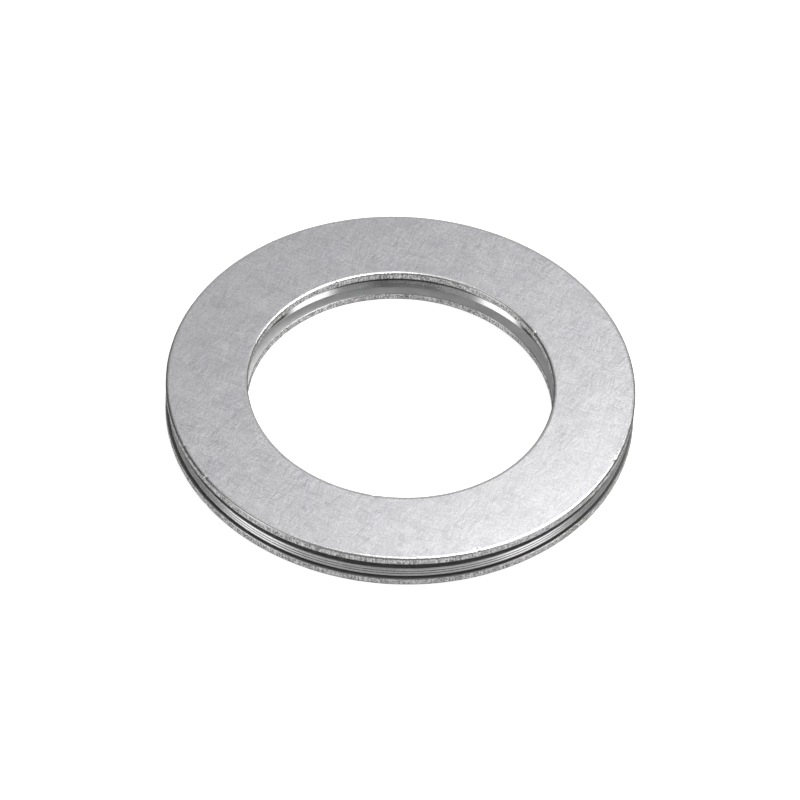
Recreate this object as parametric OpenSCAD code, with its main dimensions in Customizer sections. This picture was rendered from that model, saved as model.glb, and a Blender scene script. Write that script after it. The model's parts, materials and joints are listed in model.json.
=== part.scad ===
// Needle roller thrust bearing set: two flat washers with a caged ring of rollers between them.
// Millimetres, +Z up. The origin is on the bearing axis, at the underside of the lower washer.

/* [Washers] */
// Bore diameter of both washers
bore_d = 28.7; // [26:0.1:29.5]
// Outside diameter of both washers
outer_d = 44.07; // [43.5:0.01:46]
// Thickness of one washer
washer_t = 0.794; // [0.7:0.001:1.2]
// Radius of the rolled-in edge on the outward face of a washer
punch_edge_r = 0.22; // [0.1:0.01:0.3]
// Radius left on the raceway side of a washer
raceway_edge_r = 0.08; // [0.04:0.01:0.15]

/* [Rollers] */
// How many rollers the cage holds
roller_count = 36; // [24:1:36]
// Diameter of a roller
roller_d = 1.984; // [1.9:0.001:2.1]
// Length of a roller
roller_len = 4.6; // [4:0.05:4.6]
// Width of the bevel at each end of a roller
roller_bevel = 0.12; // [0.05:0.01:0.25]
// Lubricant gap between a roller and each raceway
film_gap = 0.02; // [0.01:0.005:0.05]

/* [Cage] */
// Thickness of the cage's sheet steel
sheet_t = 0.32; // [0.25:0.01:0.34]
// Height of the closed cage
cage_h = 1.7; // [1.65:0.01:1.75]
// How far the cage's collar stands back from the washers' bore
collar_setback = 0.92; // [0.8:0.01:1]
// Gap left between the foot of the collar and the lower washer
collar_gap = 0.04; // [0.02:0.01:0.1]
// How far the cage's rim stands in from the washers' edge
rim_setback = 0.25; // [0.1:0.01:0.3]
// Width of the crimped rim outside the cage's wall
rim_w = 0.7; // [0.6:0.01:0.72]
// Outer bend radius at the cage's inner top edge
collar_bend_r = 0.42; // [0.4:0.01:0.45]
// Outer bend radius at the cage's outer top edge
shoulder_bend_r = 0.62; // [0.5:0.01:0.65]
// Radius of the two rolled grooves around the rim
rim_groove_r = 0.05; // [0.03:0.005:0.07]
// Width of a pocket, less than a roller's diameter so that the plates keep the roller in
pocket_w = 1.76; // [1.74:0.01:1.8]
// Room between a roller and each end of its pocket
pocket_end_play = 0.03; // [0.02:0.005:0.03]
// Radius in the corners of a pocket
pocket_corner_r = 0.25; // [0.15:0.01:0.3]

/* [Hidden] */
$fn = 96;
// A cut runs this far past the face that it opens
overcut = 0.5;
// Gap between two nested sheets that do not clamp each other
nest_gap = 0.01;

bore_r = bore_d / 2;
outer_r = outer_d / 2;
roller_r = roller_d / 2;
gap_h = roller_d + 2 * film_gap;
total_h = 2 * washer_t + gap_h;
mid_z = total_h / 2;

// Heights in the cage, from the underside of its base plate to the top of its cover plate
cage_bottom = mid_z - cage_h / 2;
cage_top = mid_z + cage_h / 2;
rim_top = cage_bottom + 3 * sheet_t;

// Radii in the cage, from the collar at its bore to the rim at its outside
collar_r = bore_r + collar_setback;
upstand_r = collar_r + sheet_t + nest_gap;
upstand_outer_r = upstand_r + sheet_t;
rim_r = outer_r - rim_setback;
wall_r = rim_r - rim_w;
wall_inner_r = wall_r - sheet_t;

// The rollers sit midway between the upstand and the outer wall
pitch_r = (upstand_outer_r + wall_inner_r) / 2;
pocket_len = roller_len + 2 * pocket_end_play;
roller_pitch = 360 / roller_count;

function two_digits(n) = str(n < 10 ? "0" : "", n);
function roller_name(n) = str("roller_", two_digits(n));

// Cross-section from radius x0 to x1 and height z0 to z1, with its own corner radius low and high
module soft_rect(x0, x1, z0, z1, low_r, high_r) {
    translate([x0, z0 + low_r])
        square([x1 - x0, z1 - z0 - low_r - high_r]);
    translate([x0 + low_r, z0])
        square([x1 - x0 - 2 * low_r, low_r]);
    translate([x0 + high_r, z1 - high_r])
        square([x1 - x0 - 2 * high_r, high_r]);
    for (x = [x0 + low_r, x1 - low_r])
        translate([x, z0 + low_r])
            circle(r = low_r);
    for (x = [x0 + high_r, x1 - high_r])
        translate([x, z1 - high_r])
            circle(r = high_r);
}

// One quarter of a sheet bend about the point (x, z), opening up or down and inward or outward
module bend(x, z, outer_bend_r, to_outside, upward) {
    translate([x, z])
        mirror([to_outside ? 0 : 1, 0])
            mirror([0, upward ? 0 : 1])
                intersection() {
                    difference() {
                        circle(r = outer_bend_r);
                        circle(r = outer_bend_r - sheet_t);
                    }
                    square(outer_bend_r);
                }
}

// A flat annular blank stamped from strip, lying with its punched face up
module washer() {
    rotate_extrude()
        soft_rect(bore_r, outer_r, 0, washer_t, raceway_edge_r, punch_edge_r);
}

// Direction of roller number n, counted from 1: the +X axis lies midway between the last and the first
function roller_angle(n) = (n - 0.5) * roller_pitch;

// Copies a child to every roller's direction
module around_ring() {
    for (n = [1:roller_count])
        rotate(roller_angle(n))
            children();
}

// A round-cornered slot through both plates, standing at the first roller's place
module pocket_cutter() {
    reach_x = pocket_len / 2 - pocket_corner_r;
    reach_y = pocket_w / 2 - pocket_corner_r;
    translate([pitch_r, 0, cage_bottom - overcut])
        linear_extrude(cage_h + 2 * overcut) {
            square([pocket_len, 2 * reach_y], center = true);
            square([2 * reach_x, pocket_w], center = true);
            for (x = [-reach_x, reach_x], y = [-reach_y, reach_y])
                translate([x, y])
                    circle(r = pocket_corner_r);
        }
}

// Cover section: collar down to the lower washer, top plate, curved shoulder, outer wall and clamped flange
module upper_shell_section() {
    plate_z = cage_top - sheet_t;
    flange_z = cage_bottom + sheet_t;
    collar_bend_z = cage_top - collar_bend_r;
    shoulder_z = cage_top - shoulder_bend_r;
    collar_foot = washer_t + collar_gap;
    flange_end = rim_r - sheet_t - nest_gap;
    // collar
    translate([collar_r, collar_foot])
        square([sheet_t, collar_bend_z - collar_foot]);
    bend(collar_r + collar_bend_r, collar_bend_z, collar_bend_r, false, true);
    // top plate
    translate([collar_r + collar_bend_r, plate_z])
        square([wall_r - shoulder_bend_r - collar_r - collar_bend_r, sheet_t]);
    bend(wall_r - shoulder_bend_r, shoulder_z, shoulder_bend_r, true, true);
    // outer wall and flange
    translate([wall_inner_r, flange_z])
        square([sheet_t, shoulder_z - flange_z]);
    translate([wall_inner_r, flange_z])
        square([flange_end - wall_inner_r, sheet_t]);
}

// Base section: upstand inside the collar, base plate, and a rim folded back over the flange
module lower_shell_section() {
    upstand_bend_r = sheet_t + 0.06;
    upstand_top = cage_top - sheet_t - 0.15;
    lip_start = wall_r + 0.08;
    upstand_bend_z = cage_bottom + upstand_bend_r;
    difference() {
        union() {
            // upstand
            translate([upstand_r, upstand_bend_z])
                square([sheet_t, upstand_top - upstand_bend_z]);
            bend(upstand_r + upstand_bend_r, upstand_bend_z, upstand_bend_r, false, false);
            // base plate
            translate([upstand_r + upstand_bend_r, cage_bottom])
                square([rim_r - sheet_t - upstand_r - upstand_bend_r, sheet_t]);
            // folded rim: outer edge and the lip that returns over the flange
            difference() {
                soft_rect(lip_start - sheet_t, rim_r, cage_bottom, rim_top, sheet_t / 2, sheet_t / 2);
                translate([0, cage_bottom + sheet_t])
                    square([rim_r - sheet_t, sheet_t]);
                translate([0, cage_bottom + sheet_t])
                    square([lip_start, 3 * sheet_t]);
            }
        }
        for (layer = [1, 2])
            translate([rim_r, cage_bottom + layer * sheet_t])
                circle(r = rim_groove_r);
    }
}

module bottom_washer() {
    color("#9c9ea3")
        translate([0, 0, washer_t])
            mirror([0, 0, 1])
                washer();
}

module top_washer() {
    color("#b9bbc0")
        translate([0, 0, washer_t + gap_h])
            washer();
}

module cage_upper_shell() {
    color("#cfd0d2")
        difference() {
            rotate_extrude()
                upper_shell_section();
            around_ring()
                pocket_cutter();
        }
}

module cage_lower_shell() {
    color("#a7a8aa")
        difference() {
            rotate_extrude()
                lower_shell_section();
            around_ring()
                pocket_cutter();
        }
}

// Roller number n, lying along a radius with a bevel at each end
module roller(n) {
    barrel_len = roller_len - 2 * roller_bevel;
    color("#e3e4e6")
        rotate(roller_angle(n))
            translate([pitch_r - roller_len / 2, 0, mid_z])
                rotate([0, 90, 0]) {
                    cylinder(h = roller_bevel, r1 = roller_r - roller_bevel, r2 = roller_r);
                    translate([0, 0, roller_bevel])
                        cylinder(h = barrel_len, r = roller_r);
                    translate([0, 0, roller_bevel + barrel_len])
                        cylinder(h = roller_bevel, r1 = roller_r, r2 = roller_r - roller_bevel);
                }
}

bottom_washer();
top_washer();
cage_upper_shell();
cage_lower_shell();
for (n = [1:roller_count])
    roller(n);
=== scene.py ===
"""Looks of the needle roller thrust bearing set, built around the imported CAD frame. Metres, +Z up."""

import json
import math

import bmesh
import bpy
from mathutils import Matrix, Vector, noise


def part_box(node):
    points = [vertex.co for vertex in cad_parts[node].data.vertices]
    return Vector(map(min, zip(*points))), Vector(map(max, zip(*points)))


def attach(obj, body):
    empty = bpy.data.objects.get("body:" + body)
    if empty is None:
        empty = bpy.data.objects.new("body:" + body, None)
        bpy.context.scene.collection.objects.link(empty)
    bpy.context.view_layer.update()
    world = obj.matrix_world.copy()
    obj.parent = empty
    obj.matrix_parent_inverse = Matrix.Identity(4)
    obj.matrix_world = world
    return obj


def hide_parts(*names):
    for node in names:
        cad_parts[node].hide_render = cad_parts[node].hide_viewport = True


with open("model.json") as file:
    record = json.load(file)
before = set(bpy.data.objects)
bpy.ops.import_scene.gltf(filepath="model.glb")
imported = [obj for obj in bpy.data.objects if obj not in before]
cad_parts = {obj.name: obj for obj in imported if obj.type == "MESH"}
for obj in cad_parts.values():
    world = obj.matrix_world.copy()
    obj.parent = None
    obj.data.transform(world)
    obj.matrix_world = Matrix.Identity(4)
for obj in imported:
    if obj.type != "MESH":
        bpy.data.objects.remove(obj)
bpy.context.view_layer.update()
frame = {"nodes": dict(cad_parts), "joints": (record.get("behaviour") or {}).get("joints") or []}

MM = 0.001
ANG_STEPS = 1440        # columns around a washer; a cage shell has half as many
ROLLER_STEPS = 56       # columns around one roller


# ---------------------------------------------------------------- sizes, read from the frame

def radii(node):
    """Smallest and largest distance of a CAD node's vertices from the bearing axis."""
    lengths = [math.hypot(v.co.x, v.co.y) for v in frame["nodes"][node].data.vertices]
    return min(lengths), max(lengths)


def heights(node):
    """Lowest and highest Z of a CAD node."""
    low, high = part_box(node)
    return low[2], high[2]


BORE_R, OUTER_R = radii("top_washer")
LOWER_Z = heights("bottom_washer")
UPPER_Z = heights("top_washer")
COLLAR_R = radii("cage_upper_shell")[0]
UPSTAND_R, RIM_R = radii("cage_lower_shell")
CAGE_BOTTOM = heights("cage_lower_shell")[0]
COLLAR_FOOT, CAGE_TOP = heights("cage_upper_shell")
TOTAL_H = UPPER_Z[1]

ROLLERS = sorted(name for name in frame["nodes"] if name.startswith("roller_"))
ROLLER_JOINTS = {j["child"]: j for j in frame["joints"] if j["child"] in ROLLERS}

SHEET_T = 0.32 * MM         # thickness of the cage's sheet
ROLLER_R = 0.992 * MM
ROLLER_LEN = 4.6 * MM
POCKET_LEN = 4.66 * MM
POCKET_W = 1.76 * MM
POCKET_CORNER = 0.12 * MM
RIM_W = 0.7 * MM            # from the cage's wall out to its rim
RIM_CORNER = 0.09 * MM
GROOVE = 0.08 * MM          # depth between two of the rim's ridges
COLLAR_BEND = 0.42 * MM     # outside radius of the bend
SHOULDER_BEND = 0.62 * MM   # outside radius of the bend
COLLAR_FLARE = 0.40         # how far the collar's shading leans outward at its top, as a slope


# ---------------------------------------------------------------- profiles

def arc(centre, size, start_deg, end_deg, steps):
    """Points on an ellipse about centre, with half-axes size, both ends included."""
    points = []
    for k in range(steps + 1):
        a = math.radians(start_deg + (end_deg - start_deg) * k / steps)
        points.append((centre[0] + size[0] * math.cos(a), centre[1] + size[1] * math.sin(a)))
    return points


def line(start, end, steps):
    """Points from start to end, the last one left out."""
    return [
        (start[0] + (end[0] - start[0]) * k / steps, start[1] + (end[1] - start[1]) * k / steps)
        for k in range(steps)
    ]


def washer_side(edge_r, inward, thickness):
    """One sheared wall, from the raceway side up to the punched face, as (radius, height, zone)."""
    roll = (0.30 * MM, 0.11 * MM)       # die roll: width on the face, depth on the wall
    burr = 0.05 * MM
    tear_top = 0.42 * thickness
    tear_set = 0.022 * MM               # the torn zone stands back from the burnished one
    wall = []
    for r, z in arc((edge_r + inward * burr, burr), (-inward * burr, burr), -90, -5, 5):
        wall.append((r + inward * 0.5 * tear_set, z, "edge"))
    low = (edge_r + inward * 0.6 * tear_set, burr * 1.3)
    for r, z in line(low, (edge_r + inward * tear_set, tear_top), 8):
        wall.append((r, z, "wall"))
    roll_foot = thickness - roll[1]
    for r, z in line((edge_r + inward * 0.1 * tear_set, tear_top + 0.02 * MM), (edge_r, roll_foot), 6):
        wall.append((r, z, "wall"))
    for r, z in arc((edge_r + inward * roll[0], roll_foot), (-inward * roll[0], roll[1]), 0, 90, 12):
        wall.append((r, z, "edge"))
    return wall


def flat_span(start, end, steps):
    """Points inside a flat stretch, with one close to each end so that its shading stays flat."""
    near = 0.02 * MM / math.dist(start, end)
    shares = [near] + [k / steps for k in range(1, steps)] + [1 - near]
    return [(start[0] + (end[0] - start[0]) * t, start[1] + (end[1] - start[1]) * t) for t in shares]


def washer_profile(thickness):
    """Closed profile of a washer: up the outer wall, in across the face, and down the bore wall."""
    outer = washer_side(OUTER_R, -1, thickness)
    inner = washer_side(BORE_R, 1, thickness)
    face = flat_span(outer[-1][:2], inner[-1][:2], 24)
    back = flat_span(inner[0][:2], outer[0][:2], 24)
    loop = outer + [(r, z, "face") for r, z in face]
    loop += list(reversed(inner))
    loop += [(r, z, "back") for r, z in back]
    return loop


def bent_strip(corners, bend_radii, thickness, spacing):
    """Closed profile of a sheet that follows a centre line with rounded bends at its inner corners."""
    bend_steps = 9
    centre = []
    count = len(corners)
    previous = Vector(corners[0])
    for k in range(1, count):
        here = Vector(corners[k])
        along = (here - previous).normalized()
        if k == count - 1:
            centre += sample_line(previous, here, spacing)
            centre.append(here)
            break
        onward = (Vector(corners[k + 1]) - here).normalized()
        bend = bend_radii[k - 1]
        enter = here - along * bend
        leave = here + onward * bend
        pivot = enter + onward * bend
        centre += sample_line(previous, enter, spacing)
        for step in range(bend_steps + 1):
            turn = math.pi / 2 * step / bend_steps
            centre.append(pivot - onward * bend * math.cos(turn) + along * bend * math.sin(turn))
        previous = leave + onward * spacing * 0.2
    left, right = [], []
    for k, point in enumerate(centre):
        ahead = centre[min(k + 1, len(centre) - 1)]
        behind = centre[max(k - 1, 0)]
        tangent = (ahead - behind).normalized()
        side = Vector((-tangent.y, tangent.x)) * thickness / 2
        left.append(point + side)
        right.append(point - side)
    ring = round_end(left[-1], right[-1]) + list(reversed(right)) + round_end(right[0], left[0])
    return [(p.x, p.y, "sheet") for p in left + ring]


def sample_line(start, end, spacing):
    """Points about spacing apart from start to end, the last one left out."""
    steps = max(1, round((end - start).length / spacing))
    return [start.lerp(end, k / steps) for k in range(steps)]


def round_end(start, end):
    """Small chamfered nose between a sheet's two faces at its cut edge."""
    across = end - start
    out = Vector((across.y, -across.x)) * -0.05
    return [start + across * 0.07 + out, start + across * 0.5 + out * 1.1, start + across * 0.93 + out]


# ---------------------------------------------------------------- meshes

def revolve(profile, steps, shift):
    """Vertices and faces of a closed profile turned about Z. shift(r, z, zone, angle) moves a point."""
    verts, faces, zones = [], [], []
    count = len(profile)
    for k in range(steps):
        angle = 2 * math.pi * k / steps
        ca, sa = math.cos(angle), math.sin(angle)
        for r, z, zone in profile:
            r2, z2 = shift(r, z, zone, angle)
            verts.append((r2 * ca, r2 * sa, z2))
    for k in range(steps):
        a, b = k * count, (k + 1) % steps * count
        for i in range(count):
            j = (i + 1) % count
            faces.append((a + i, b + i, b + j, a + j))
            zone, following = profile[i][2], profile[j][2]
            zones.append(zone if zone in ("edge", "sheet", "ridge") else following)
    return verts, faces, zones


def keep_place(r, z, zone, angle):
    return r, z


def new_piece(name, verts, faces, zones, materials):
    """Makes the object. materials maps a zone to its material."""
    mesh = bpy.data.meshes.new(name)
    mesh.from_pydata(verts, [], faces)
    slots = []
    for material in materials.values():
        if material not in slots:
            slots.append(material)
            mesh.materials.append(material)
    index = [slots.index(materials[zone]) for zone in zones]
    mesh.polygons.foreach_set("material_index", index)
    tidy_mesh(mesh)
    piece = bpy.data.objects.new(name, mesh)
    bpy.context.scene.collection.objects.link(piece)
    return piece


def tidy_mesh(mesh):
    """Makes every normal point outward and shades the mesh smooth, with its sharp corners kept."""
    work = bmesh.new()
    work.from_mesh(mesh)
    bmesh.ops.recalc_face_normals(work, faces=work.faces)
    work.to_mesh(mesh)
    work.free()
    mesh.polygons.foreach_set("use_smooth", [True] * len(mesh.polygons))
    mesh.set_sharp_from_angle(angle=math.radians(38))
    mesh.update()


# Nicks on a washer's rolled edges: (direction in degrees, half-width in degrees, depth)
OUTER_NICKS = [
    (205.5, 0.5, 0.07 * MM),
    (217, 0.35, 0.06 * MM),
    (291, 0.4, 0.05 * MM),
    (338, 0.5, 0.05 * MM),
]
BORE_NICKS = [(31, 0.7, 0.05 * MM), (118, 0.7, 0.05 * MM), (262, 0.8, 0.06 * MM)]
BURR_TOP = 0.3 * MM         # below this height an edge point is on the burr, not on the die roll


def nick_depth(nicks, angle):
    """Depth of the nicks at one direction, each nick with sloping sides."""
    degrees = math.degrees(angle) % 360
    depth = 0.0
    for centre, half_width, deep in nicks:
        gap = abs((degrees - centre + 180) % 360 - 180) / half_width
        if gap < 3:
            depth += deep * math.exp(-gap * gap)
    return depth


def worn_washer(base_z, upward, seed, turn):
    """Point shift for a stamped washer: torn walls, a wavering die roll, and nicks in the edge."""
    def shift(r, h, zone, angle):
        inward = 1 if r < (BORE_R + OUTER_R) / 2 else -1
        around = Vector((math.cos(angle), math.sin(angle), 0)) * r / MM
        if zone == "wall":
            streak = noise.noise(around * 5.0 + Vector((seed, 0, h / MM * 0.8)))
            grain = noise.noise(around * 9.0 + Vector((0, seed, h / MM * 9.0)))
            r += inward * MM * (0.010 + 0.010 * streak + 0.006 * grain)
        if zone == "edge" and h > BURR_TOP:
            waver = noise.noise(around * 0.8 + Vector((0, 0, seed)))
            ripple = noise.noise(around * 4.0 + Vector((seed, seed, 0)))
            nicks = OUTER_NICKS if inward < 0 else BORE_NICKS
            drop = MM * (0.010 + 0.012 * waver + 0.005 * ripple)
            dent = nick_depth(nicks, angle + turn)
            r += inward * (drop + dent * 0.8)
            h -= 0.5 * dent
        return r, base_z + upward * h
    return shift


def make_washer(name, z_range, upward, seed, turn):
    """A stamped washer. upward is 1 or -1, and turn sets its nicks round from the other washer's."""
    thickness = z_range[1] - z_range[0]
    base = z_range[0] if upward > 0 else z_range[1]
    verts, faces, zones = revolve(
        washer_profile(thickness), ANG_STEPS, worn_washer(base, upward, seed, turn)
    )
    materials = {"face": TUMBLED, "back": RACEWAY, "wall": SHEARED, "edge": ROLLED_EDGE}
    return new_piece(name, verts, faces, zones, materials)


def rolled_rim(r, z, zone, angle):
    """Lets the rim's rolled ridges wander slightly around the cage."""
    if zone == "ridge":
        around = Vector((math.cos(angle) * 5, math.sin(angle) * 5, z / MM * 3))
        r -= 0.008 * MM * (1 + noise.noise(around))
    return r, z


def ridged_wall(low, high):
    """The rim's outside from bottom to top: three ridges with a shallow groove between each pair."""
    corner = (RIM_CORNER, RIM_CORNER)
    points = arc((RIM_R - RIM_CORNER, low + RIM_CORNER), corner, -90, -10, 5)
    rows = 42
    for k in range(rows + 1):
        z = low + RIM_CORNER + (high - low - 2 * RIM_CORNER) * k / rows
        across = 2 * ((z - low) / SHEET_T % 1.0) - 1
        points.append((RIM_R - GROOVE * abs(across) ** 2.5, z))
    points += arc((RIM_R - RIM_CORNER, high - RIM_CORNER), corner, 10, 90, 5)
    return [(r, z, "ridge") for r, z in points]


def pocket_cutters(reach_low, reach_high):
    """One mesh that holds a round-cornered slot for each roller."""
    outline = []
    half_l = POCKET_LEN / 2 - POCKET_CORNER
    half_w = POCKET_W / 2 - POCKET_CORNER
    corner = (POCKET_CORNER, POCKET_CORNER)
    for sx, sy, start in ((1, 1, 0), (-1, 1, 90), (-1, -1, 180), (1, -1, 270)):
        outline += arc((sx * half_l, sy * half_w), corner, start, start + 90, 6)
    count = len(outline)
    verts, faces = [], []
    for name in ROLLERS:
        joint = ROLLER_JOINTS[name]
        centre = Vector(joint["pos_m"][:2])
        out = Vector(joint["axis"][:2])
        side = Vector((-out.y, out.x))
        first = len(verts)
        for z in (reach_low, reach_high):
            for x, y in outline:
                p = centre + out * x + side * y
                verts.append((p.x, p.y, z))
        faces.append([first + k for k in reversed(range(count))])
        faces.append([first + count + k for k in range(count)])
        for k in range(count):
            j = (k + 1) % count
            faces.append((first + k, first + j, first + count + j, first + count + k))
    mesh = bpy.data.meshes.new("pocket_cutters")
    mesh.from_pydata(verts, [], faces)
    cutter = bpy.data.objects.new("pocket_cutters", mesh)
    bpy.context.scene.collection.objects.link(cutter)
    return cutter


def cut_pockets(piece):
    """Cuts the rollers' pockets through a cage shell and stores the result in its mesh."""
    spare = 0.5 * MM
    cutter = pocket_cutters(CAGE_BOTTOM - spare, CAGE_TOP + spare)
    boolean = piece.modifiers.new("pockets", "BOOLEAN")
    boolean.operation = "DIFFERENCE"
    boolean.solver = "EXACT"
    boolean.object = cutter
    evaluated = piece.evaluated_get(bpy.context.evaluated_depsgraph_get())
    cut = bpy.data.meshes.new_from_object(evaluated)
    piece.modifiers.remove(boolean)
    old = piece.data
    piece.data = cut
    cut.name = piece.name
    bpy.data.meshes.remove(old)
    bpy.data.objects.remove(cutter)
    tidy_mesh(cut)


def make_cage_cover():
    """Upper shell: collar, top plate, curved shoulder, wall, and the flange clamped in the rim."""
    half = SHEET_T / 2
    wall_r = RIM_R - RIM_W
    flange_z = CAGE_BOTTOM + 3 * half
    foot_cut = 0.02 * MM        # room for the nose at the strip's cut end
    corners = [
        (COLLAR_R + half, COLLAR_FOOT + foot_cut),
        (COLLAR_R + half, CAGE_TOP - half),
        (wall_r - half, CAGE_TOP - half),
        (wall_r - half, flange_z),
        (RIM_R - 1.2 * SHEET_T, flange_z),
    ]
    bends = [COLLAR_BEND - half, SHOULDER_BEND - half, half * 1.1]
    profile = bent_strip(corners, bends, SHEET_T, 0.12 * MM)
    verts, faces, zones = revolve(profile, ANG_STEPS // 2, keep_place)
    piece = new_piece("cage_cover", verts, faces, zones, {"sheet": COVER_SHEET})
    cut_pockets(piece)
    return piece


def base_profile():
    """Closed profile of the lower shell: upstand, base plate, and the rim folded over the flange."""
    low, high = CAGE_BOTTOM, CAGE_BOTTOM + 3 * SHEET_T
    upstand_top = CAGE_TOP - SHEET_T - 0.15 * MM
    lip_r = RIM_R - RIM_W + 0.08 * MM
    inner_bend = 0.06 * MM
    outer_bend = inner_bend + SHEET_T
    chamfer = 0.04 * MM
    far = UPSTAND_R + SHEET_T
    channel = RIM_R - SHEET_T
    inside = [
        (lip_r, high - chamfer),
        (lip_r, high - SHEET_T + chamfer),
        (lip_r + chamfer, high - SHEET_T),
        (channel, high - SHEET_T),
        (channel, low + SHEET_T),
    ]
    inside += list(reversed(line((far + inner_bend, low + SHEET_T), (channel, low + SHEET_T), 40)[1:]))
    inside += arc((far + inner_bend, low + SHEET_T + inner_bend), (inner_bend, inner_bend), 270, 180, 4)
    inside += [
        (far, upstand_top - chamfer),
        (far - chamfer, upstand_top),
        (UPSTAND_R + chamfer, upstand_top),
        (UPSTAND_R, upstand_top - chamfer),
    ]
    inside += arc((UPSTAND_R + outer_bend, low + outer_bend), (outer_bend, outer_bend), 180, 270, 8)
    inside += line((UPSTAND_R + outer_bend, low), (RIM_R - 0.14 * MM, low), 40)[1:]
    outside = ridged_wall(low, high)
    top = [(r, z, "sheet") for r, z in line((RIM_R - 0.15 * MM, high), (lip_r + chamfer, high), 5)]
    top.append((lip_r + chamfer, high, "sheet"))
    return outside + top + [(r, z, "sheet") for r, z in inside]


def make_cage_base():
    """Lower shell: upstand just behind the collar, base plate, and the rim folded over the flange."""
    verts, faces, zones = revolve(base_profile(), ANG_STEPS // 2, rolled_rim)
    materials = {"sheet": RIM_SHEET, "ridge": RIM_SHEET}
    piece = new_piece("cage_base", verts, faces, zones, materials)
    cut_pockets(piece)
    return piece


def make_roller(name):
    """A needle roller with bevelled, slightly domed ends, lying along its joint's axis."""
    bevel = 0.12 * MM
    half = ROLLER_LEN / 2
    dome = 0.02 * MM
    outline = [(0.35 * ROLLER_R, half), (0.7 * ROLLER_R, half - dome)]
    outline += arc((ROLLER_R - bevel, half - dome - bevel), (bevel, bevel), 90, 0, 6)
    outline += line((ROLLER_R, half * 0.9), (ROLLER_R, -half * 0.9), 6)
    outline += arc((ROLLER_R - bevel, dome + bevel - half), (bevel, bevel), 0, -90, 6)
    outline += [(0.7 * ROLLER_R, dome - half), (0.35 * ROLLER_R, -half)]
    verts, faces = [], []
    rows = len(outline)
    for k in range(ROLLER_STEPS):
        a = 2 * math.pi * k / ROLLER_STEPS
        verts += [(z, r * math.cos(a), r * math.sin(a)) for r, z in outline]
    for k in range(ROLLER_STEPS):
        a, b = k * rows, (k + 1) % ROLLER_STEPS * rows
        for i in range(rows - 1):
            faces.append((a + i, b + i, b + i + 1, a + i + 1))
    tips = len(verts)
    verts += [(half, 0, 0), (-half, 0, 0)]
    for k in range(ROLLER_STEPS):
        a, b = k * rows, (k + 1) % ROLLER_STEPS * rows
        faces.append((tips, b, a))
        faces.append((tips + 1, a + rows - 1, b + rows - 1))
    joint = ROLLER_JOINTS[name]
    out = Vector(joint["axis"])
    side = Vector((-out.y, out.x, 0))
    place = Matrix((out, side, Vector((0, 0, 1)))).transposed()
    centre = Vector(joint["pos_m"])
    verts = [centre + place @ Vector(v) for v in verts]
    return new_piece(name + "_ground", verts, faces, ["all"] * len(faces), {"all": GROUND_ROLLER})


# ---------------------------------------------------------------- materials

class Recipe:
    """A material under construction: short calls that add and link shader nodes."""

    def __init__(self, name):
        self.material = bpy.data.materials.new(name)
        self.material.use_nodes = True
        self.tree = self.material.node_tree
        self.shader = self.tree.nodes["Principled BSDF"]
        self.coords = self.node("ShaderNodeTexCoord").outputs["Object"]

    def node(self, kind, **settings):
        """Adds a node and sets its plain properties."""
        made = self.tree.nodes.new(kind)
        for key, value in settings.items():
            setattr(made, key, value)
        return made

    def plug(self, source, target):
        """Links an output, or sets a plain value, on an input socket."""
        if isinstance(source, bpy.types.NodeSocket):
            self.tree.links.new(source, target)
        else:
            target.default_value = source

    def math(self, operation, a, b=0.0):
        made = self.node("ShaderNodeMath", operation=operation)
        self.plug(a, made.inputs[0])
        self.plug(b, made.inputs[1])
        return made.outputs[0]

    def stretch(self, scale, turn=(0, 0, 0)):
        """The object's coordinates in millimetres, turned and then stretched."""
        turned = self.node("ShaderNodeVectorRotate", rotation_type="EULER_XYZ")
        self.plug(self.coords, turned.inputs["Vector"])
        turned.inputs["Rotation"].default_value = turn
        scaled = self.node("ShaderNodeVectorMath", operation="MULTIPLY")
        self.plug(turned.outputs[0], scaled.inputs[0])
        scaled.inputs[1].default_value = [s / MM for s in scale]
        return scaled.outputs[0]

    def noise(self, vector, detail=2.0, roughness=0.5):
        made = self.node("ShaderNodeTexNoise")
        self.plug(vector, made.inputs["Vector"])
        made.inputs["Scale"].default_value = 1.0
        made.inputs["Detail"].default_value = detail
        made.inputs["Roughness"].default_value = roughness
        return made.outputs["Fac"]

    def remap(self, value, low, high, to_low=0.0, to_high=1.0):
        """Moves value's range from low..high to to_low..to_high, with soft ends."""
        made = self.node("ShaderNodeMapRange", interpolation_type="SMOOTHSTEP")
        for source, key in ((value, "Value"), (low, "From Min"), (high, "From Max")):
            self.plug(source, made.inputs[key])
        self.plug(to_low, made.inputs["To Min"])
        self.plug(to_high, made.inputs["To Max"])
        return made.outputs["Result"]

    def mix(self, factor, a, b):
        made = self.node("ShaderNodeMix", data_type="RGBA")
        self.plug(factor, made.inputs["Factor"])
        self.plug(a, made.inputs[6])
        self.plug(b, made.inputs[7])
        return made.outputs[2]

    def blend(self, a, b, share):
        """Adds a and b, with share of a and the rest of b."""
        return self.math("ADD", self.math("MULTIPLY", a, share), self.math("MULTIPLY", b, 1 - share))

    def bump(self, height, distance, strength=1.0, normal=None):
        """Roughens the shader's normal by height, which stands for distance where it is 1."""
        made = self.node("ShaderNodeBump")
        if normal is not None:
            self.plug(normal, made.inputs["Normal"])
        made.inputs["Strength"].default_value = strength
        made.inputs["Distance"].default_value = distance
        self.plug(height, made.inputs["Height"])
        self.plug(made.outputs["Normal"], self.shader.inputs["Normal"])

    def finish(self, colour, roughness, metallic=1.0):
        """Plugs the results in the shader and returns the material."""
        self.shader.inputs["Metallic"].default_value = metallic
        self.plug(colour, self.shader.inputs["Base Color"])
        self.plug(roughness, self.shader.inputs["Roughness"])
        return self.material


def add_all(recipe, values):
    """The sum of several values."""
    total = values[0]
    for value in values[1:]:
        total = recipe.math("ADD", total, value)
    return total


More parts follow.
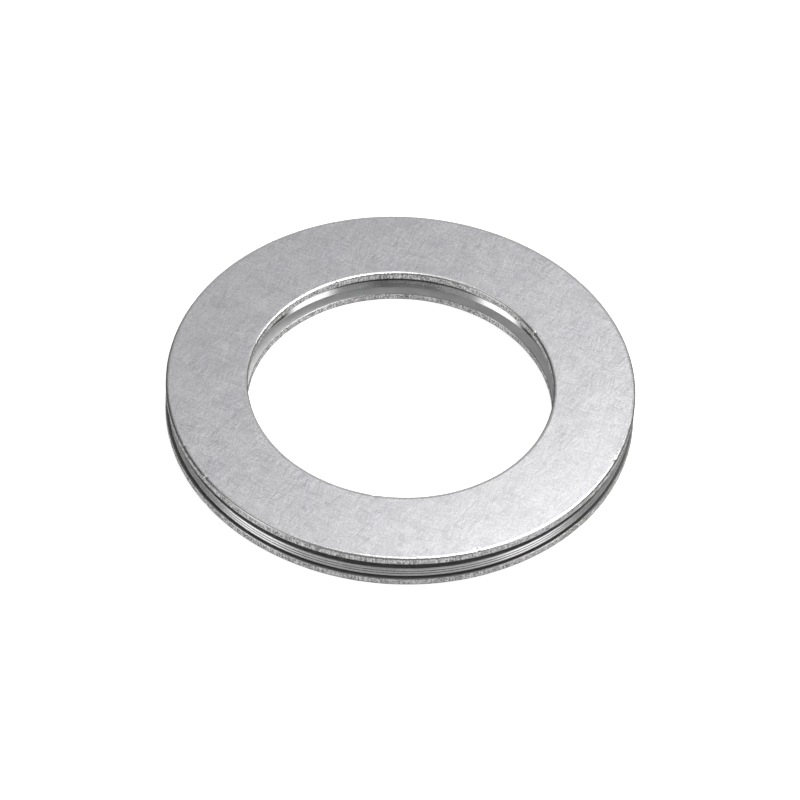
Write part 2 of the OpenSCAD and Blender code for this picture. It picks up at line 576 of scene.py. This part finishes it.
def scratch_field(recipe, directions, length, width):
    """Short fine scratches that lie in several directions, each direction in its own patches."""
    layers = []
    for k, degrees in enumerate(directions):
        turn = math.radians(degrees)
        along = recipe.stretch((1 / length, 1 / width, 1 / length), (0, 0, turn))
        streaks = recipe.noise(along, 2.0, 0.6)
        patches = recipe.noise(recipe.stretch((0.9, 0.9, 0.9), (0.3 * k, 0.7 * k, 1.1 * k)), 1.0)
        shown = recipe.remap(patches, 0.40, 0.56)
        centred = recipe.math("SUBTRACT", streaks, 0.5)
        layers.append(recipe.math("MULTIPLY", centred, shown))
    return add_all(recipe, layers)


def tumbled_steel():
    """Barrel-tumbled washer face: satin grey, with fine crossing scratches and faint cloudy patches."""
    m = Recipe("tumbled_steel")
    scratches = scratch_field(m, (-42, -58, 35, 100, 12), 2.4, 0.070)
    cloud = m.noise(m.stretch((0.35, 0.35, 0.35)), 3.0, 0.55)
    grain = m.noise(m.stretch((7.0, 7.0, 7.0)), 2.0, 0.65)
    base = m.mix(m.remap(cloud, 0.35, 0.65), (0.470, 0.472, 0.500, 1), (0.500, 0.500, 0.516, 1))
    light = m.remap(scratches, -0.16, 0.16)
    streaked = m.mix(m.math("MULTIPLY", light, 0.62), base, (0.650, 0.654, 0.680, 1))
    specks = m.remap(grain, 0.34, 0.60, 0.42, 0.0)
    colour = m.mix(specks, streaked, (0.32, 0.32, 0.345, 1))
    rough = m.math("ADD", m.remap(cloud, 0.3, 0.7, 0.385, 0.40), m.math("MULTIPLY", scratches, 0.25))
    height = m.math("ADD", m.math("MULTIPLY", scratches, 0.8), m.math("MULTIPLY", grain, 0.5))
    m.bump(height, 0.009 * MM)
    return m.finish(colour, rough)


def raceway_steel():
    """The inward face, where the rollers run: smoother, with faint circular running marks."""
    m = Recipe("raceway_steel")
    scratches = scratch_field(m, (10, 80, 130), 1.2, 0.08)
    cloud = m.noise(m.stretch((0.5, 0.5, 0.5)), 2.0)
    rings = running_marks(m)
    colour = m.mix(m.remap(cloud, 0.35, 0.65), (0.72, 0.72, 0.73, 1), (0.80, 0.798, 0.80, 1))
    rough = m.math("ADD", m.remap(rings, 0.3, 0.7, 0.42, 0.50), m.math("MULTIPLY", scratches, 0.2))
    m.bump(m.math("ADD", m.math("MULTIPLY", rings, 0.5), scratches), 0.006 * MM)
    # the colour carries painted shade on the ledge outside the rollers' track
    return m.finish(painted_rim_shade(m, colour), rough, 0.3)


def distance_and_height(m):
    """Distance from the axis and height, as two values."""
    apart = m.node("ShaderNodeSeparateXYZ")
    m.plug(m.coords, apart.inputs[0])
    x, y = apart.outputs[0], apart.outputs[1]
    far = m.math("SQRT", m.math("ADD", m.math("MULTIPLY", x, x), m.math("MULTIPLY", y, y)))
    return far, apart.outputs[2]


def running_marks(m):
    """Noise that changes only with the distance from the axis and the height."""
    far, height = distance_and_height(m)
    joined = m.node("ShaderNodeCombineXYZ")
    m.plug(m.math("MULTIPLY", far, 6 / MM), joined.inputs[0])
    m.plug(m.math("MULTIPLY", height, 14 / MM), joined.inputs[2])
    return m.noise(joined.outputs[0], 2.0, 0.6)


def painted_rim_shade(m, colour):
    """Darkens the narrow ledge outside the rollers' track with painted shade, the shadow that the cage's
    rim casts there.
    """
    far = distance_and_height(m)[0]
    shown = m.remap(far, RIM_R - 0.5 * MM, RIM_R - 0.1 * MM, 0.0, 0.92)
    return m.mix(shown, colour, (0.09, 0.086, 0.082, 1))


def sheared_steel():
    """Punched wall: torn grain, vertical drag lines and dark pits."""
    m = Recipe("sheared_steel")
    drag = m.noise(m.stretch((7.0, 7.0, 1.2)), 3.0, 0.65)
    torn = m.noise(m.stretch((6.6, 6.6, 6.6)), 3.0, 0.75)
    patches = m.noise(m.stretch((0.8, 0.8, 0.8)), 2.0)
    tone = m.blend(drag, torn, 0.5)
    light = m.remap(tone, 0.44, 0.56)
    body = m.mix(light, (0.25, 0.25, 0.255, 1), (0.72, 0.72, 0.715, 1))
    pits = m.math("MULTIPLY", m.remap(torn, 0.44, 0.47, 1.0, 0.0), m.remap(patches, 0.35, 0.6, 0.3, 1.0))
    colour = m.mix(pits, body, (0.10, 0.10, 0.105, 1))
    rough = m.remap(torn, 0.3, 0.7, 0.62, 0.45)
    m.bump(tone, 0.03 * MM, 0.6)
    return m.finish(colour, rough, 0.18)


def rolled_edge():
    """Rounded stamped edge, burnished by tumbling."""
    m = Recipe("rolled_edge")
    grain = m.noise(m.stretch((7.0, 7.0, 7.0)), 3.0, 0.6)
    wear = m.noise(m.stretch((1.3, 1.3, 1.3)), 2.0)
    colour = m.mix(m.remap(grain, 0.35, 0.65), (0.56, 0.56, 0.57, 1), (0.72, 0.72, 0.72, 1))
    rough = m.remap(wear, 0.3, 0.7, 0.19, 0.27)
    m.bump(grain, 0.008 * MM)
    return m.finish(colour, rough)


def flared_normal(m, shown):
    """The surface normal tipped upward where shown is 1, as on a wall drawn slightly open."""
    geometry = m.node("ShaderNodeNewGeometry")
    lift = m.node("ShaderNodeCombineXYZ")
    m.plug(m.math("MULTIPLY", shown, COLLAR_FLARE), lift.inputs[2])
    added = m.node("ShaderNodeVectorMath", operation="ADD")
    m.plug(geometry.outputs["Normal"], added.inputs[0])
    m.plug(lift.outputs[0], added.inputs[1])
    unit = m.node("ShaderNodeVectorMath", operation="NORMALIZE")
    m.plug(added.outputs[0], unit.inputs[0])
    return unit.outputs[0]


def sheet_colour(m, lines, dull, bright):
    """Sheet steel between two greys, by its drawing lines and by soft clouds."""
    cloud = m.noise(m.stretch((0.8, 0.8, 0.8)), 2.0)
    tone = m.blend(lines, cloud, 0.6)
    return m.mix(m.remap(tone, 0.38, 0.62), dull, bright)


def cage_cover_sheet():
    """The cover's polished sheet. Its collar is shaded as if it flared, with a painted shade line near
    its top, where the top washer's shadow falls.
    """
    m = Recipe("cage_cover_sheet")
    far, height = distance_and_height(m)
    collar = m.remap(far, COLLAR_R + 0.02 * MM, COLLAR_R + 0.05 * MM, 1.0, 0.0)
    lines = running_marks(m)
    unshaded = sheet_colour(m, lines, (0.70, 0.70, 0.71, 1), (0.82, 0.82, 0.825, 1))
    # painted shade: the collar goes dark just under the top washer's bore, where the washer's shadow
    # falls
    painted_shade_band = m.remap(height, CAGE_TOP - 1.02 * MM, CAGE_TOP - 0.91 * MM, 0.0, 0.85)
    painted_shade_band = m.math("MULTIPLY", collar, painted_shade_band)
    colour = m.mix(painted_shade_band, unshaded, (0.06, 0.06, 0.062, 1))
    rough = m.remap(lines, 0.3, 0.7, 0.10, 0.17)
    m.bump(lines, 0.004 * MM, 1.0, flared_normal(m, collar))
    return m.finish(colour, rough)


def rolled_rim_sheet():
    """The rim's rolled steel: rougher than the cover, with painted shade in the grooves between its
    ridges and a painted shadow of the top washer on its ledges.
    """
    m = Recipe("rolled_rim_sheet")
    far, height = distance_and_height(m)
    layer = m.math("FRACT", m.math("DIVIDE", m.math("SUBTRACT", height, CAGE_BOTTOM), SHEET_T))
    from_middle = m.math("ABSOLUTE", m.math("SUBTRACT", layer, 0.5))
    # painted shade: darker towards each boundary between the sheet's layers, in the grooves between the
    # ridges
    painted_groove_shade = m.remap(from_middle, 0.26, 0.44, 0.0, 0.9)
    # the ridges' outer skin, and on it the rim's top and bottom corners, which stay free of the painted
    # groove shade
    skin = m.remap(far, RIM_R - 0.16 * MM, RIM_R - 0.06 * MM)
    off_centre = m.math("ABSOLUTE", m.math("SUBTRACT", height, CAGE_BOTTOM + 1.5 * SHEET_T))
    clear = m.math("MULTIPLY", skin, m.remap(off_centre, 1.15 * SHEET_T, 1.3 * SHEET_T))
    groove_shade_shown = m.math("MULTIPLY", painted_groove_shade, m.math("SUBTRACT", 1.0, clear))
    # painted shadow of the top washer: everything inside the ridges' outer skin, the rim's top ledge
    # among it, is darkened
    painted_ledge_shadow = m.remap(skin, 0.0, 1.0, 0.85, 0.0)
    dark = m.math("MAXIMUM", groove_shade_shown, painted_ledge_shadow)
    lines = running_marks(m)
    unshaded = sheet_colour(m, lines, (0.76, 0.76, 0.765, 1), (0.92, 0.92, 0.92, 1))
    colour = m.mix(dark, unshaded, (0.10, 0.10, 0.103, 1))
    m.bump(lines, 0.006 * MM)
    return m.finish(colour, m.remap(lines, 0.3, 0.7, 0.20, 0.28), 0.75)


def ground_roller():
    """Ground and lapped roller, nearly mirror bright."""
    m = Recipe("ground_roller")
    grain = m.noise(m.stretch((4.0, 4.0, 4.0)), 2.0)
    colour = m.mix(m.remap(grain, 0.3, 0.7), (0.70, 0.70, 0.71, 1), (0.80, 0.80, 0.81, 1))
    m.bump(grain, 0.001 * MM)
    return m.finish(colour, m.remap(grain, 0.3, 0.7, 0.10, 0.16))


TUMBLED = tumbled_steel()
RACEWAY = raceway_steel()
SHEARED = sheared_steel()
ROLLED_EDGE = rolled_edge()
COVER_SHEET = cage_cover_sheet()
RIM_SHEET = rolled_rim_sheet()
GROUND_ROLLER = ground_roller()


# ---------------------------------------------------------------- the bearing

def put_on_frame(piece, body, slot, *nodes):
    """Ties a piece to its body and hides the CAD nodes that it stands for. The slot argument is not used.
    """
    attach(piece, body)
    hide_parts(*nodes)


upper_washer = make_washer("upper_washer_stamped", UPPER_Z, upward=1, seed=3.0, turn=0.0)
lower_washer = make_washer("lower_washer_stamped", LOWER_Z, upward=-1, seed=9.0, turn=2.1)
put_on_frame(upper_washer, "top_washer", "washer_steel", "top_washer")
put_on_frame(lower_washer, "bottom_washer", "washer_steel", "bottom_washer")
put_on_frame(make_cage_cover(), "cage", "cage_sheet", "cage_upper_shell")
put_on_frame(make_cage_base(), "cage", "cage_sheet", "cage_lower_shell")
for roller in ROLLERS:
    put_on_frame(make_roller(roller), roller, "roller_steel", roller)


# ---------------------------------------------------------------- stage, light and camera

def make_floor():
    """A pale floor, bright enough to read as white."""
    mesh = bpy.data.meshes.new("floor")
    half = 3.0
    corners = [(-half, -half, 0), (half, -half, 0), (half, half, 0), (-half, half, 0)]
    mesh.from_pydata(corners, [], [(0, 1, 2, 3)])
    floor = bpy.data.objects.new("floor", mesh)
    bpy.context.scene.collection.objects.link(floor)
    material = bpy.data.materials.new("pale_floor")
    material.use_nodes = True
    shader = material.node_tree.nodes["Principled BSDF"]
    shader.inputs["Base Color"].default_value = (0.85, 0.85, 0.85, 1)
    shader.inputs["Roughness"].default_value = 0.9
    shader.inputs["Emission Color"].default_value = (1, 1, 1, 1)
    shader.inputs["Emission Strength"].default_value = 0.75
    mesh.materials.append(material)
    floor.visible_glossy = False


def smooth_window(tree, value, low, high, soft):
    """1 between low and high, 0 outside, with edges that are soft wide."""
    rise = tree.nodes.new("ShaderNodeMapRange")
    fall = tree.nodes.new("ShaderNodeMapRange")
    for made, start, end in ((rise, low - soft, low + soft), (fall, high + soft, high - soft)):
        made.interpolation_type = "SMOOTHSTEP"
        tree.links.new(value, made.inputs["Value"])
        made.inputs["From Min"].default_value = start
        made.inputs["From Max"].default_value = end
    both = tree.nodes.new("ShaderNodeMath")
    both.operation = "MULTIPLY"
    tree.links.new(rise.outputs[0], both.inputs[0])
    tree.links.new(fall.outputs[0], both.inputs[1])
    return both.outputs[0]


# Soft boxes of the studio. Each has its direction range round from the front (degrees, right is
# plus), its height range from the horizon (degrees, up is plus), its edges' softness and its
# radiance. OPEN stands for a side without an end.
OPEN = 400
SOFT_BOXES = [
    # tall side boxes: above the horizon, at it, and below it
    (54, 82, 8, 58, 7, 1.6),
    (-82, -54, 8, 58, 7, 1.6),
    (46, 74, -38, 4, 6, 1.50),
    (-74, -46, -38, 4, 6, 1.50),
    (50, 94, -75, -38, 7, 0.44),
    (-92, -50, -75, -38, 7, 0.40),
    # the side boxes' dim inner flanks
    (20, 46, -34, 4, 6, 0.30),
    (-46, -20, -34, 4, 6, 0.30),
    # fills behind and beside the bearing
    (96, 165, -5, 60, 14, 0.12),
    (155, OPEN, -15, 42, 10, 0.52),
    (-OPEN, -155, -15, 42, 10, 0.52),
    (96, 165, -75, -20, 12, 0.16),
    (-165, -96, -75, -20, 12, 0.14),
    # fills in front, low and high
    (-50, 50, -75, -30, 8, 0.16),
    (-50, 50, 6, 72, 10, 0.19),
    # the upper half of the room, and its top
    (-OPEN, OPEN, 2, OPEN, 8, 0.05),
    (-OPEN, OPEN, 64, OPEN, 14, 0.20),
]
CEILING = (Vector((0.05, 0.42, 0.90)).normalized(), 19, 9, 0.76)   # direction, reach, softness, radiance
STUDIO_BASE = 0.06
SEEN_WHITE = 1.2            # what the camera sees of the room past the floor's end


def make_studio():
    """Surroundings: a dim room, tall soft boxes to either side, and a ceiling panel towards the back."""
    world = bpy.data.worlds.new("studio")
    bpy.context.scene.world = world
    world.use_nodes = True
    tree = world.node_tree
    background = tree.nodes["Background"]
    background.inputs["Color"].default_value = (1, 1, 1, 1)
    where = tree.nodes.new("ShaderNodeTexCoord")
    apart = tree.nodes.new("ShaderNodeSeparateXYZ")
    tree.links.new(where.outputs["Generated"], apart.inputs[0])

    def calc(operation, a, b=None):
        """One step of arithmetic on sockets or plain values."""
        made = tree.nodes.new("ShaderNodeMath")
        made.operation = operation
        for value, socket in ((a, made.inputs[0]), (b, made.inputs[1])):
            if isinstance(value, bpy.types.NodeSocket):
                tree.links.new(value, socket)
            elif value is not None:
                socket.default_value = value
        return made.outputs[0]

    x, y, z = apart.outputs[0], apart.outputs[1], apart.outputs[2]
    around = calc("DEGREES", calc("ARCTAN2", x, calc("MULTIPLY", y, -1.0)))
    height = calc("DEGREES", calc("ARCSINE", z))
    total = STUDIO_BASE
    for left, right, low, high, soft, radiance in SOFT_BOXES:
        span = smooth_window(tree, around, left, right, soft)
        rise = smooth_window(tree, height, low, high, soft)
        total = calc("ADD", total, calc("MULTIPLY", calc("MULTIPLY", span, rise), radiance))
    towards, reach, soft, radiance = CEILING
    dot = tree.nodes.new("ShaderNodeVectorMath")
    dot.operation = "DOT_PRODUCT"
    tree.links.new(where.outputs["Generated"], dot.inputs[0])
    dot.inputs[1].default_value = towards
    off_axis = calc("DEGREES", calc("ARCCOSINE", dot.outputs["Value"]))
    panel = smooth_window(tree, off_axis, -90, reach, soft)
    total = calc("ADD", total, calc("MULTIPLY", panel, radiance))
    # the camera sees plain white where the floor ends
    path = tree.nodes.new("ShaderNodeLightPath")
    seen = tree.nodes.new("ShaderNodeMix")
    seen.data_type = "FLOAT"
    tree.links.new(path.outputs["Is Camera Ray"], seen.inputs[0])
    tree.links.new(total, seen.inputs[2])
    seen.inputs[3].default_value = SEEN_WHITE
    tree.links.new(seen.outputs[0], background.inputs["Strength"])


def make_key_light():
    """A small square lamp above the bearing, a little to the right and to the back."""
    size = 0.07
    lamp = bpy.data.lights.new("key_panel", "AREA")
    lamp.shape = "RECTANGLE"
    lamp.size, lamp.size_y = size, size
    lamp.energy = 0.176
    lamp.color = (1.0, 0.985, 0.955)
    panel = bpy.data.objects.new("key_panel", lamp)
    panel.location = (0.050, 0.040, 0.156)
    panel.rotation_euler = (-panel.location).to_track_quat("-Z", "Y").to_euler()
    bpy.context.scene.collection.objects.link(panel)


def make_camera():
    """A long lens 47 degrees above the table, aimed just in front of the bearing's centre, and rolled."""
    elevation = math.radians(46.82)
    roll = math.radians(3.05)
    distance = 27.3 * OUTER_R
    aim_forward = 2.16 * MM
    top_centre = Vector((0, 0, TOTAL_H))
    aim = top_centre - Vector((0, aim_forward, 0))
    data = bpy.data.cameras.new("camera")
    data.sensor_width = 36
    data.lens = 288.8
    data.clip_start = 0.01
    data.clip_end = 20
    camera = bpy.data.objects.new("camera", data)
    camera.location = top_centre + distance * Vector((0, -math.cos(elevation), math.sin(elevation)))
    look = (aim - camera.location).to_track_quat("-Z", "Y").to_matrix()
    camera.rotation_euler = (look @ Matrix.Rotation(roll, 3, "Z")).to_euler()
    bpy.context.scene.collection.objects.link(camera)
    bpy.context.scene.camera = camera


make_floor()
make_studio()
make_key_light()
make_camera()
bpy.context.scene.view_settings.view_transform = "Standard"
